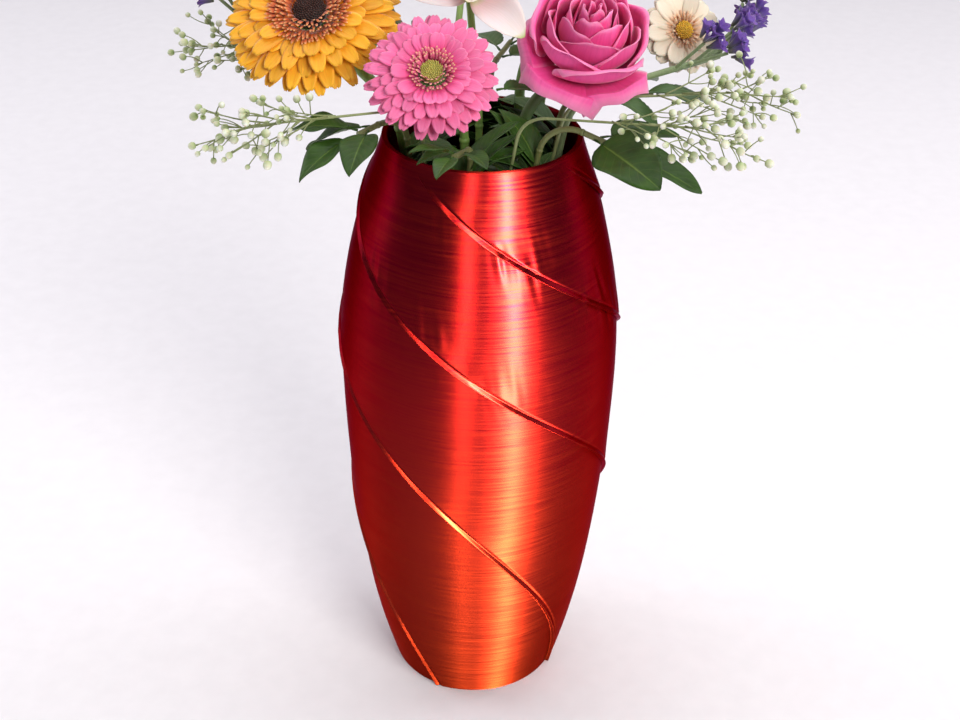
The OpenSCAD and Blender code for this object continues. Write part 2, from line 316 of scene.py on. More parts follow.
def spun(grid, degrees):
    a = math.radians(degrees)
    return grid @ np.array([[math.cos(a), math.sin(a), 0], [-math.sin(a), math.cos(a), 0], [0, 0, 1]])


# ---------------------------------------------------------------- reading the frame

def points_of(node):
    vertices = frame["nodes"][node].data.vertices
    flat = np.empty(len(vertices) * 3, np.float32)
    vertices.foreach_get("co", flat)
    return flat.reshape(-1, 3).astype(float)


def middle(node):
    """Centroid of a node's surface."""
    data = frame["nodes"][node].data
    areas = np.array([p.area for p in data.polygons])
    centres = np.array([p.center for p in data.polygons])
    return (centres * areas[:, None]).sum(0) / areas.sum()


def spread(points):
    """Principal axes of a cloud of points, longest first, and the extents along them."""
    centred = points - points.mean(0)
    _, vectors = np.linalg.eigh(centred.T @ centred)
    vectors = vectors[:, ::-1].T
    return vectors, np.ptp(centred @ vectors.T, axis=0)


def islands(node):
    """The separate solids of a node, each as its points."""
    data = frame["nodes"][node].data
    points = points_of(node)
    key = {}
    home = np.arange(len(points))
    for i, p in enumerate(np.round(points * 1e5).astype(int).tolist()):
        home[i] = key.setdefault(tuple(p), i)

    def root(i):
        while home[i] != i:
            home[i] = home[home[i]]
            i = home[i]
        return i

    for a, b in ((e.vertices[0], e.vertices[1]) for e in data.edges):
        ra, rb = root(a), root(b)
        if ra != rb:
            home[max(ra, rb)] = min(ra, rb)
    roots = np.array([root(i) for i in range(len(points))])
    return [points[roots == r] for r in np.unique(roots)]


def show(made, node):
    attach(made, frame["nodes"][node]["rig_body"])
    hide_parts(node)
    return made


# ---------------------------------------------------------------- the vase

LAPS = 4
LAP_START = 153.6           # where one lap meets the foot, in degrees from the front
LAP_TURN = (95.0, 192.5)    # how far it turns on its way up: straight and curved share
LAP_RISE = 1.9 * MM         # how far a lap stands out from the one below it
LAP_SWELL = 15 * MM         # how far back its surface starts to rise
LIP_RISE, LIP_WIDTH = 0.45 * MM, 0.8 * MM       # the bead along a lap's edge
GROOVE_DEPTH, GROOVE_AT = 0.55 * MM, 2.2 * MM   # the furrow behind the bead
STEP_WIDTH = 0.35 * MM      # how steeply the wall drops at a lap's edge
CRINKLE_RISE, CRINKLE_REACH = 0.50 * MM, 12 * MM
WAVE_RISE = 0.25 * MM       # how far the whole wall is out of true
CROWDING = 0.93             # how far the mesh columns gather at the lap edges
WALL = 3 * MM
FLOOR = 4 * MM
NOISE_CELLS = 97


def wall_profile():
    """Radius of the outside of the CAD vase at each height of its rings."""
    points = points_of("vase")
    radius = np.hypot(points[:, 0], points[:, 1])
    heights = np.round(points[:, 2], 4)
    rings = [(z, radius[heights == z].max()) for z in np.unique(heights)]
    return np.array([r for r in rings if r[1] > 0.9 * rings[0][1]])


def smooth_radius(z):
    """The same radius without the facets of the rings."""
    rings = wall_profile()
    fit = np.polynomial.Polynomial.fit(rings[:, 0], rings[:, 1], 7)
    return fit(z)


def value_noise(x, y, seed):
    """Smooth noise between -1 and 1 on a grid of cells."""
    table = np.random.default_rng(seed).uniform(-1, 1, (NOISE_CELLS, NOISE_CELLS))
    xi, yi = np.floor(x).astype(int), np.floor(y).astype(int)
    fx, fy = x - xi, y - yi
    fx, fy = fx * fx * (3 - 2 * fx), fy * fy * (3 - 2 * fy)

    def at(i, j):
        return table[i % NOISE_CELLS, j % NOISE_CELLS]

    low = at(xi, yi) * (1 - fx) + at(xi + 1, yi) * fx
    high = at(xi, yi + 1) * (1 - fx) + at(xi + 1, yi + 1) * fx
    return low * (1 - fy) + high * fy


def lap_edge(t):
    """Where the first lap's edge is, in degrees from the front, t of the way up."""
    return LAP_START - LAP_TURN[0] * t - LAP_TURN[1] * t * t


def lap_relief(column, z, radius):
    """How far the wall stands out; column counts degrees past the first lap's edge."""
    t = z / H
    phase, lap = np.mod(column, 360 / LAPS), np.floor(column * LAPS / 360)
    around = column + lap_edge(t)
    climb = np.cos(np.arctan(np.radians(LAP_TURN[0] + 2 * LAP_TURN[1] * t) / H * radius))
    past = np.radians(phase) * radius * climb
    before = np.radians(360 / LAPS - phase) * radius * climb
    near_rim = np.clip((H * 0.985 - z) / (0.05 * H), 0, 1)
    uneven = 1 + 0.35 * value_noise(z / (16 * MM), lap * 7 + 0.5, 3)
    swell = LAP_RISE * np.exp(-past / LAP_SWELL)
    lip = LIP_RISE * uneven * np.exp(-(past / LIP_WIDTH) ** 2)
    groove = -GROOVE_DEPTH * uneven * np.exp(-((past - GROOVE_AT) / LIP_WIDTH) ** 2)
    step = np.exp(-(before / STEP_WIDTH) ** 2) * (LAP_RISE + LIP_RISE * uneven)
    relief = (swell + lip + groove + step) * near_rim
    # crinkles gather along the lap edge near the top
    high = np.clip((t - 0.60) / 0.14, 0, 1) * near_rim
    gather = np.exp(-((np.minimum(past, before + 5 * MM) - 5 * MM) / CRINKLE_REACH) ** 2)
    patch = np.clip(value_noise(around / 11 + 40, z / (19 * MM), 5) + 0.45, 0, 1)
    ridge = value_noise(around / 3.0 + 12 * t, z / (26 * MM) + around / 18, 8)
    relief += CRINKLE_RISE * high * gather * patch * ridge
    relief += WAVE_RISE * value_noise(around / 24 + 9, z / (42 * MM), 12) * (0.3 + t)
    return relief


def vase_finish():
    f = Finish("silk_print")
    across, _ = f.uv()
    height = f.span(f.height(), 0.0, H)
    # the base colour darkens towards the rim, which is painted shade, and turns more orange towards the foot
    base = f.ramp(height, [
        (0.0, 0.27, 0.030, 0.012), (0.35, 0.26, 0.018, 0.013), (0.62, 0.22, 0.007, 0.013),
        (0.80, 0.15, 0.002, 0.011), (1.0, 0.10, 0.001, 0.009)])
    cloud = f.noise(f.coords((9, 9, 5)), 1.0, 2.0)
    base = f.mix(f.span(cloud, 0.35, 0.7, 0.0, 0.35), base, (0.12, 0.002, 0.014))
    streak = f.noise(f.coords((26, 26, 900)), 1.0, 4.0, 0.6)
    f.set(
        Base_Color=f.mix(f.span(streak, 0.3, 0.75, 0.0, 0.16), base, (0.55, 0.06, 0.012)),
        Metallic=1.0,
        Specular_Tint=(0.50, 0.09, 0.24),
        Roughness=f.span(streak, 0.25, 0.8, 0.33, 0.52),
        Anisotropic=0.9,
        Anisotropic_Rotation=0.25,
        Tangent=f.node("ShaderNodeTangent", {}, direction_type="RADIAL", axis="Z"),
    )
    diagonal = f.noise(f.node("ShaderNodeCombineXYZ", {0: across, 1: f.height()}), 240.0, 2.0)
    layers = f.math("ADD", streak, f.math("MULTIPLY", diagonal, 0.25))
    f.bump(layers, 0.30, 0.2 * MM)
    return f.material


def make_vase():
    per_lap, up_steps = (170, 460) if FINE else (70, 180)
    even = np.linspace(0, 1, per_lap, endpoint=False)
    crowded = even - CROWDING * np.sin(2 * np.pi * even) / (2 * np.pi)
    column = np.concatenate([(lap + crowded) * 360 / LAPS for lap in range(LAPS)])
    z = np.linspace(0, H - 0.8 * MM, up_steps)
    grid_z, grid_c = np.meshgrid(z, column, indexing="ij")
    skin_r = smooth_radius(grid_z) - LAP_RISE
    outer = skin_r + lap_relief(grid_c, grid_z, skin_r)
    # the rim rolls over into the inside wall, which runs down to the floor
    top = outer[-1]
    rim = [(top + 0.1 * MM, H - 0.3 * MM), (top - 0.5 * MM, H), (top - WALL + 0.6 * MM, H),
           (top - WALL, H - 0.6 * MM)]
    down = np.linspace(H - 6 * MM, FLOOR, 46)
    inner = [(smooth_radius(h) - LAP_RISE - WALL + 0 * column, h) for h in down]
    floor = [(inner[-1][0] * share, FLOOR) for share in (0.9, 0.5, 0.1)]
    rings = list(zip(outer, z)) + rim + inner + floor
    stack = []
    for radius, height in rings:
        angle = np.radians(column + lap_edge(min(height / H, 1)) - 90)
        stack.append(np.stack([radius * np.cos(angle), radius * np.sin(angle), 0 * angle + height], axis=1))
    skin = Skin()
    skin.ring_stack(np.array(stack))
    # across a lap, the map counts metres along the belly, so that the print lines keep their size
    belly = 0.08
    skin.uvs[0][:-2, 0] = np.tile(np.mod(column, 360 / LAPS) * math.pi / 180 * belly, len(rings))
    return show(skin.build("vase_print", [vase_finish()]), "vase")


# ---------------------------------------------------------------- petals and leaves

def petal_grid(length, width, lift, droop, cup, root=0.3, rows=9, cols=7, ridge=0.04, notch=0.0):
    """A strap of petal along +X from its root, rounded at its tip, as a grid of points."""
    v = 1 - (1 - np.linspace(0, 1, rows)) ** 1.35
    a = np.linspace(-1, 1, cols)
    rise = np.radians(lift - droop * v)
    step = np.diff(v, prepend=0) * length
    x, z = np.cumsum(step * np.cos(rise)), np.cumsum(step * np.sin(rise))
    body = root + (1 - root) * np.sin(np.clip(v / 0.62, 0, 1) * np.pi / 2)
    tip = np.sqrt(np.clip(1 - np.clip((v - 0.66) / 0.36, 0, 1) ** 2, 0, 1))
    half = width / 2 * body * tip
    grid = np.zeros((rows, cols, 3))
    grid[:, :, 0] = x[:, None] - notch * length * (a[None, :] == 0) * (v[:, None] > 0.98)
    grid[:, :, 1] = half[:, None] * a[None, :]
    grid[:, :, 2] = z[:, None] + half[:, None] * cup * a[None, :] ** 2
    grid[:, :, 2] += ridge * width * np.cos(3 * np.pi * a)[None, :] * body[:, None]
    return grid


def petal_finish(name, stops, streaks, edge=None):
    """Colours from root to tip, fine lines along the petal, and a paler rim when edge is given."""
    f = Finish(name)
    across, along = f.uv()
    colour = f.ramp(along, stops)
    lines = f.noise(f.node("ShaderNodeCombineXYZ", {
        0: f.math("MULTIPLY", across, 26.0), 1: f.math("MULTIPLY", along, 2.2),
        2: f.math("MULTIPLY", f.tone(), 9.0)}), 1.0, 2.0)
    dark = tuple(c * 0.72 for c in stops[0][1:])
    colour = f.mix(f.span(lines, 0.35, 0.75, 0.0, streaks), colour, dark)
    if edge:
        side = f.math("ABSOLUTE", f.math("SUBTRACT", across, 0.5))
        rim = f.math("MAXIMUM", f.span(side, 0.40, 0.5), f.span(along, 0.90, 1.0))
        colour = f.mix(f.math("MULTIPLY", rim, 0.7), colour, edge)
    shade = f.span(f.tone(), 0.0, 1.0, 0.82, 1.08)
    grey = f.node("ShaderNodeCombineColor", {0: shade, 1: shade, 2: shade})
    colour = f.mix(1.0, colour, grey, "MULTIPLY")
    f.set(Base_Color=colour, Roughness=f.span(lines, 0.2, 0.8, 0.47, 0.65),
          Subsurface_Weight=0.25, Subsurface_Radius=(0.004, 0.002, 0.0015),
          Sheen_Weight=0.25, Sheen_Roughness=0.4)
    f.bump(lines, 0.4, 0.25 * MM)
    return f.material


def gerbera(name, finish, disc_finish, tiers, width, ruff, eye):
    """Rays in tiers, a ruff of short florets, and a domed disc of tiny buds."""
    rays, disc = name + "_rays", name + "_disc"
    cloud = points_of(rays)
    axes, _ = spread(cloud)
    axis = axes[2] if axes[2] @ (middle(disc) - middle(rays)) > 0 else -axes[2]
    turn = axes_about(axis)
    centre = middle(rays)
    reach = np.linalg.norm(np.cross(cloud - centre, axis), axis=1).max()
    local_z = (cloud - centre) @ axis
    base = centre + axis * local_z.min()
    skin = Skin()
    for tier, (count, share, lift, droop, height) in enumerate(tiers):
        start = reach * (0.2 + 0.025 * tier)
        for k in range(count):
            length = reach * share * rng.uniform(0.93, 1.0) - start
            grid = petal_grid(length, width * reach * rng.uniform(0.92, 1.06),
                              lift + rng.normal(0, 3.5), droop + rng.normal(0, 4), 0.22,
                              root=0.5, rows=10, cols=7, notch=0.02)
            grid = grid + start * np.array([1, 0, 0])
            grid[:, :, 2] += height * reach + rng.uniform(0, 0.012) * reach
            grid = spun(grid, 360 * (k + rng.uniform(-0.12, 0.12)) / count + count * 3.1)
            skin.sheet(base + grid @ turn.T, PETAL_THICK, rng.uniform())
    show(skin.build(name + "_ray_florets", [finish]), rays)

    skin = Skin()
    for ring in range(ruff["rings"]):
        share = ring / max(ruff["rings"] - 1, 1)
        count = int(ruff["count"] * (1 - 0.35 * share))
        for k in range(count):
            start = reach * (ruff["radius"] - ruff["spread"] * share)
            grid = petal_grid(reach * ruff["length"] * rng.uniform(0.8, 1.15), reach * ruff["width"],
                              ruff["lift"] + 22 * share + rng.normal(0, 8), 30, 0.3,
                              root=0.5, rows=5, cols=4, ridge=0.0)
            grid[:, :, 0] += start
            grid[:, :, 2] += reach * (ruff["height"] + 0.02 * share)
            grid = spun(grid, 360 * (k + rng.uniform(-0.3, 0.3)) / count)
            skin.sheet(base + grid @ turn.T, FLORET_THICK, rng.uniform(), 0)
    buds = eye["buds"]
    for k in range(buds):
        share = (k + 0.5) / buds
        r = reach * eye["radius"] * math.sqrt(share)
        a = k * DISC_TURN
        dome = reach * (eye["base"] + eye["dome"] * (1 - share))
        at = base + np.array([r * math.cos(a), r * math.sin(a), dome]) @ turn.T
        lean = unit(np.array([0.5 * share * math.cos(a), 0.5 * share * math.sin(a), 1]))
        size = reach * eye["bud"] * rng.uniform(0.85, 1.15)
        skin.pod(at, lean @ turn.T, size, size * 2.6,
                 [(-0.6, 0.7), (0.2, 1.0), (0.7, 0.75), (1.0, 0.2)], 6, rng.uniform(), 1)
    skin.pod(base, axis, reach * eye["radius"] * 1.04, reach * (eye["base"] + eye["dome"]),
             [(0.1, 1.0), (0.55, 1.0), (0.75, 0.85), (0.92, 0.5), (0.98, 0.1)], 28, 0.5, 1)
    show(skin.build(name + "_centre", disc_finish), disc)


def rose(name, finish, count, hang):
    """Petals on a golden spiral from a closed heart to an open rim; hang names those that fold down."""
    outer, inner = name + "_outer_petals", name + "_inner_petals"
    axis = unit(middle(inner) - middle(outer))
    turn = axes_about(axis)
    cloud = np.concatenate([points_of(outer), points_of(inner)])
    centre = middle(outer)
    height = (cloud - centre) @ axis
    base = centre + axis * height.min()
    tall = np.ptp(height)
    reach = np.linalg.norm(np.cross(points_of(outer) - centre, axis), axis=1).max()
    skins = {inner: Skin(), outer: Skin()}
    rows, cols = 15, 19
    for i in range(count):
        share = (i + 0.5) / count
        rim_r = reach * (0.05 + 0.87 * share ** 0.92)
        top = tall * (1.0 - 0.34 * share ** 1.6)
        span = math.radians(105 - 58 * share ** 0.7) * rng.uniform(0.92, 1.08)
        theta = math.radians(ROSE_TURN * i + rng.uniform(-9, 9))
        v, a = np.meshgrid(np.linspace(0, 1, rows), np.linspace(-1, 1, cols), indexing="ij")
        spiral = 1 + 0.10 * a * (1 - share)
        swell = np.sin(np.clip(v / 0.78, 0, 1) * np.pi / 2) ** (0.75 + 0.25 * share)
        closing = 1 - (0.34 - 0.30 * share) * np.clip((v - 0.62) / 0.38, 0, 1) ** 1.6
        radius = (0.10 * reach + (rim_r - 0.10 * reach) * swell) * closing * spiral
        radius = np.maximum(radius, 0.015 * reach)
        crown = 1 - 0.30 * np.abs(a) ** 2.6 - 0.02 * np.cos(5 * a + i)
        z = top * (v ** (1.0 + 0.5 * share)) * crown
        curl = np.clip((v - 0.80) / 0.20, 0, 1) ** 2 * (0.3 + share)
        radius = radius + 0.085 * reach * curl * (0.4 + share)
        z = z - 0.085 * reach * curl * share * 1.3
        if i in hang:
            drop = np.clip((v - 0.3) / 0.7, 0, 1)
            radius = radius + 0.05 * reach * drop ** 1.5
            z = z - 0.40 * tall * drop ** 1.7
            theta = math.radians(hang[i])
            span *= 0.92
        wave = 0.018 * reach * np.sin(a * 7 + i * 2.1) * v ** 3
        half = span * (0.45 + 0.55 * np.sin(np.clip(v / 0.6, 0, 1) * np.pi / 2))
        half = half * np.sqrt(np.clip(1 - np.clip((v - 0.72) / 0.42, 0, 1) ** 2, 0.05, 1))
        angle = theta + half * a
        grid = np.stack([(radius + wave) * np.cos(angle), (radius + wave) * np.sin(angle), z], axis=2)
        node = inner if share < 0.55 else outer
        skins[node].sheet(base + grid @ turn.T, PETAL_THICK, rng.uniform())
    for node, skin in skins.items():
        show(skin.build(node + "_spiral", [finish]), node)


def leaf_grid(length, width, fold, droop, teeth, wave, rows=22, cols=11):
    """A leaf blade along +X with a folded midrib, sunken veins and a toothed edge."""
    v, a = np.meshgrid(np.linspace(0, 1, rows), np.linspace(-1, 1, cols), indexing="ij")
    half = width / 2 * np.sin(np.pi * v ** 0.78) ** 0.75 * (1 - 0.15 * v)
    half = np.maximum(half, 0.012 * width)
    half = half * (1 + teeth * np.abs(a) ** 6 * (np.mod(v * rows / 2, 1.0) - 0.5))
    bend = np.radians(droop) * v
    x = length * np.sin(bend) / max(math.radians(droop), 1e-3)
    z = -length * (1 - np.cos(bend)) / max(math.radians(droop), 1e-3)
    veins = np.abs(np.sin(np.pi * (8 * v - 2.4 * np.abs(a))))
    z = z + fold * half * np.abs(a) + wave * width * np.sin(v * 9) * a * np.abs(a)
    z = z + 0.25 * MM * (veins - 1) * (1 - np.abs(a)) - 0.35 * MM * np.exp(-(a / 0.12) ** 2)
    return np.stack([x, half * a, z], axis=2)


def leaf_finish(name, blade, light, vein):
    """Two greens in patches, a pale midrib and side veins that bend towards the tip."""
    f = Finish(name)
    across, along = f.uv()
    side = f.math("ABSOLUTE", f.math("SUBTRACT", across, 0.5))
    patches = f.noise(f.coords((90, 90, 90)), 1.0, 4.0)
    colour = f.mix(f.span(patches, 0.3, 0.75), blade, light)
    turn = f.math("SUBTRACT", f.math("MULTIPLY", along, 8.0), f.math("MULTIPLY", side, 4.8))
    ripple = f.math("ABSOLUTE", f.math("SINE", f.math("MULTIPLY", turn, math.pi)))
    veins = f.span(ripple, 0.10, 0.0)
    rib = f.span(side, 0.030, 0.0)
    pale = f.math("MAXIMUM", f.math("MULTIPLY", veins, 0.45), rib)
    colour = f.mix(f.math("MULTIPLY", pale, 0.75), colour, vein)
    cells = f.noise(f.coords((900, 900, 900)), 1.0, 2.0)
    f.set(Base_Color=colour, Roughness=f.span(patches, 0.3, 0.7, 0.36, 0.54),
          Subsurface_Weight=0.08, Subsurface_Radius=(0.001, 0.002, 0.0005),
          Specular_IOR_Level=0.30)
    relief = f.math("ADD", f.math("MULTIPLY", ripple, 0.8), f.math("MULTIPLY", cells, 0.25))
    f.bump(relief, 0.35, 0.3 * MM)
    return f.material


def leaves(node, finish, fold=0.25, droop=34, teeth=0.0, wave=0.05, grow=1.06):
    """Real leaves in place of a node's flat blades, each read from its own solid."""
    skin = Skin()
    mouth = np.array([0, 0, H])
    for cloud in islands(node):
        axes, extent = spread(cloud)
        way = axes[0]
        middle_at = (cloud.min(0) + cloud.max(0)) / 2
        if way @ (middle_at - mouth) < 0:
            way = -way
        ends = (cloud - cloud.mean(0)) @ way
        root = cloud.mean(0) + way * ends.min()
        normal = axes[2] if axes[2][2] > 0 else -axes[2]
        side = np.cross(normal, way)
        turn = np.stack([way, side, normal], axis=1)
        length, width = extent[0], extent[1]
        petiole = 0.14 * length
        waving = wave * rng.uniform(0.5, 1.5)
        grid = leaf_grid((length - petiole) * grow, width * grow, fold, droop, teeth, waving)
        grid[:, :, 0] += petiole
        tilt = rng.normal(0, 0.10)
        grid[:, :, 2] += grid[:, :, 1] * tilt
        skin.sheet(root + grid @ turn.T, LEAF_THICK, rng.uniform(), 0)
        stem = np.array([[0, 0, 0], [petiole * 0.6, 0, 0.2 * MM], [petiole * 1.15, 0, 0]])
        skin.tube(root + stem @ turn.T, [0.8 * MM, 0.65 * MM, 0.4 * MM], 8, 0.5, 0)
    return show(skin.build(node + "_blades", [finish]), node)


def runs(node):
    """The two longest straight runs of a stem, as axis points: below and above its bend."""
    mesh = frame["nodes"][node].data
    spots = points_of(node)
    pairs = np.array([e.vertices[:] for e in mesh.edges])
    downward = spots[pairs[:, 0], 2] > spots[pairs[:, 1], 2]
    pairs[downward] = pairs[downward][:, ::-1]
    way = spots[pairs[:, 1]] - spots[pairs[:, 0]]
    length = np.linalg.norm(way, axis=1)
    found = []
    for above in (False, True):
        usable = (spots[pairs[:, 0], 2] > H) == above
        best = np.argmax(length * usable)
        alike = usable & (np.abs(length - length[best]) < 0.3 * MM)
        alike &= (way @ way[best]) > 0.999 * length * length[best]
        chosen = pairs[alike]
        found.append((spots[np.unique(chosen[:, 0])].mean(0), spots[np.unique(chosen[:, 1])].mean(0)))
    (foot, bend), (rise, tip) = found
    if np.linalg.norm(rise - bend) > np.linalg.norm(tip - bend):
        rise, tip = tip, rise
    return foot, bend, rise, tip


def bowed(foot, bend, rise, tip, steps=14):
    """A smooth path up a stem's straight part, round its bend and out to its tip."""
    first, last = unit(bend - foot), unit(tip - rise)
    pull = 0.42 * np.linalg.norm(rise - bend)
    path = [foot + (bend - foot) * s for s in np.linspace(0, 1, 10)]
    a, b, c, d = bend, bend + first * pull, rise - last * pull, rise
    for s in np.linspace(0, 1, steps)[1:-1]:
        path.append((1 - s) ** 3 * a + 3 * s * (1 - s) ** 2 * b + 3 * s * s * (1 - s) * c + s ** 3 * d)
    path += [rise + (tip - rise) * s for s in np.linspace(0, 1, 10)]
    return np.array(path)


def drawn_stem(node, finish, radius, tip_radius):
    """A tapering stem in place of a CAD one, along the same path."""
    path = bowed(*runs(node))
    along = np.linspace(0, 1, len(path))
    radii = (radius + (tip_radius - radius) * along) * (1 + 0.06 * np.sin(along * 40))
    skin = Skin()
    skin.tube(path, radii, 12)
    return show(skin.build(node + "_drawn", [finish]), node)


PULL_STEPS = 41
MOUTH_FROM, MOUTH_TO = 0.85 * H, H + 60 * MM    # heights where a low leaf could be in the way
CLEAR = 2.6 * MM                                # from a low leaf to the points of a passing stem
LEAF_TRIES = 14


def pulled_stems():
    """The space near the mouth that the flower stems pass through as they are drawn out."""
    swept = []
    for joint in frame["joints"]:
        if joint["child"] + "_stem" in frame["nodes"]:
            stem = points_of(joint["child"] + "_stem")[::2]
            for travel in np.linspace(0, joint["range_m"][1], PULL_STEPS):
                moved = stem + travel * np.array(joint["axis"])
                swept.append(moved[(moved[:, 2] > MOUTH_FROM) & (moved[:, 2] < MOUTH_TO)])
    swept = np.concatenate(swept)
    tree = KDTree(len(swept))
    for i, point in enumerate(swept):
        tree.insert(point, i)
    tree.balance()
    return tree


def mouth_leaves(twig, finish, count, kept_clear):
    """Leaves low on a twig, which close the mouth of the vase between the stems."""
    node = frame["nodes"][twig]
    low, high, _, _ = runs(twig)
    skin = Skin()
    for k in range(count):
        z = H * (0.90 + 0.09 * k / max(count - 1, 1))
        root = low + (high - low) * (z - low[2]) / (high[2] - low[2])
        inward = math.degrees(math.atan2(-root[1], -root[0]))
        for _ in range(LEAF_TRIES):
            around = math.radians(inward + rng.uniform(-85, 85))
            rise = math.radians(rng.uniform(30, 66))
            level = math.cos(rise)
            way = np.array([level * math.cos(around), level * math.sin(around), math.sin(rise)])
            side = unit(np.cross([0, 0, 1], way))
            turn = np.stack([way, side, np.cross(way, side)], axis=1)
            length, width = rng.uniform(30, 46) * MM, rng.uniform(15, 23) * MM
            grid = leaf_grid(length, width, fold=0.35, droop=42, teeth=0.0, wave=0.04)
            grid[:, :, 2] *= -1 if turn[2, 2] < 0 else 1
            leaf = root + grid @ turn.T
            beyond_root = leaf[2:].reshape(-1, 3)[::2]
            if all(kept_clear.find(point)[2] > CLEAR for point in beyond_root):
                skin.sheet(leaf, LEAF_THICK, rng.uniform(), 0)
                break
    made = skin.build(twig + "_low_leaves", [finish])
    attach(made, node["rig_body"])


def tepals(node, finish, recurve, width=1.0, grow=1.04):
    """Alstroemeria tepals read from the flat CAD ones: cupped, with recurved tips."""
    skin = Skin()
    flower = node.rsplit("_", 2)[0]
    stamens = middle(flower + "_stamens")
    for cloud in islands(node):
        axes, extent = spread(cloud)
        way = axes[0]
        ends = (cloud - cloud.mean(0)) @ way
        first, last = cloud.mean(0) + way * ends.min(), cloud.mean(0) + way * ends.max()
        bottom = tip_root(flower)
        if np.linalg.norm(first - bottom) > np.linalg.norm(last - bottom):
            way, first = -way, last
        normal = axes[2] if axes[2] @ (stamens - cloud.mean(0)) > 0 else -axes[2]
        turn = np.stack([way, np.cross(normal, way), normal], axis=1)
        v, a = np.meshgrid(np.linspace(0, 1, 18), np.linspace(-1, 1, 11), indexing="ij")
        length, wide = extent[0] * grow, extent[1] * width
        half = wide / 2 * (0.22 + 0.78 * np.sin(np.pi * np.clip(v, 0, 1) ** 1.25) ** 0.75)
        half = half * np.sqrt(np.clip(1 - np.clip((v - 0.86) / 0.16, 0, 1) ** 2, 0.01, 1))
        x = length * v
        z = -recurve * length * np.clip((v - 0.35) / 0.65, 0, 1) ** 2 + 0.45 * half * a ** 2
        z = z + 0.03 * wide * np.sin(9 * v + 3 * a) * np.abs(a) * v
        grid = np.stack([x, half * a, z], axis=2)
        skin.sheet(first + grid @ turn.T, LEAF_THICK, rng.uniform())
    return show(skin.build(node + "_blades", [finish]), node)


def tip_root(flower):
    """Where a flower's throat is: the end of its stem that is nearest its stamens."""
    cloud = points_of(flower + "_stem")
    target = middle(flower + "_stamens")
    near = cloud[np.argsort(np.linalg.norm(cloud - target, axis=1))[:12]]
    return near.mean(0)


def stamens(flower, finish, slot):
    """Bowed filaments with an anther at the end of each."""
    skin = Skin()
    node = flower + "_stamens"
    root = tip_root(flower)
    for cloud in islands(node):
        far = cloud[np.argmax(np.linalg.norm(cloud - root, axis=1))]
        near = cloud[np.argmin(np.linalg.norm(cloud - root, axis=1))]
        path = [near + (far - near) * s + np.array([0, 0, 1.2 * MM]) * math.sin(math.pi * s)
                for s in np.linspace(0, 0.93, 7)]
        skin.tube(path, np.linspace(0.5, 0.3, 7) * MM, 8, 0.2, 0)
        way = unit(far - near)
        skin.pod(far - way * 2.6 * MM, unit(way + [0.3, 0, 0.2]), 0.95 * MM, 3.2 * MM,
                 [(0, 0.3), (0.2, 0.9), (0.6, 1.0), (0.9, 0.6), (1.0, 0.1)], 10, 0.9, 0)
    return show(skin.build(node + "_filaments", [finish]), node)


def buds(flower, finish, twig_finish, slot):
    """Each CAD twig becomes a finer one that forks into a loose cluster of buds."""
    skin = Skin()
    node = flower + "_buds"
    for cloud in islands(node):
        axes, _ = spread(cloud)
        ends = (cloud - cloud.mean(0)) @ axes[0]
        near, far = cloud[np.argmin(ends)], cloud[np.argmax(ends)]
        if ends.max() > -ends.min():       # the round bud has most of the points
            near, far = far, near
        way = unit(far - near)
        far = far - way * 3 * MM
        root = near - way * 6 * MM
        droop = np.array([0, 0, -1]) * rng.uniform(0, 2.5) * MM
        main = [root + (far - root) * s + droop * math.sin(math.pi * s) for s in np.linspace(0, 1, 9)]
        skin.tube(main, np.linspace(0.50, 0.28, 9) * MM, 6, 0.3, 1)
        for k in range(6):
            if k == 0:
                start, heading, place = main[-2], way, far
            else:
                start = main[rng.integers(3, 8)]
                heading = unit(rng.normal(0, 0.75, 3) + way)
                place = start + heading * rng.uniform(7, 15) * MM
            size = rng.uniform(1.3, 2.3) * MM
            sag = np.array([0, 0, 1]) * rng.uniform(-1.2, 1.6) * MM
            path = [start + (place - start) * s + sag * math.sin(math.pi * s)
                    for s in np.linspace(0, 0.9, 6)]
            skin.tube(path, np.linspace(0.34, 0.26, 6) * MM, 6, 0.3, 1)
            skin.pod(place - heading * size, heading, size, 2.1 * size,
                     [(0, 0.35), (0.12, 0.8), (0.4, 1.0), (0.7, 0.92), (0.9, 0.6), (1.0, 0.25)],
                     10, rng.uniform(), 0)
    return show(skin.build(node + "_cluster", [finish, twig_finish]), node)


CUP = [(0, 0.25, 0), (0.3, 0.45, 0), (0.6, 0.62, 0.05), (0.85, 0.9, 0.2), (1.0, 1.25, 0.42),
       (0.97, 1.15, 0.42), (0.8, 0.75, 0.2), (0.5, 0.45, 0.0)]     # up, out and frill


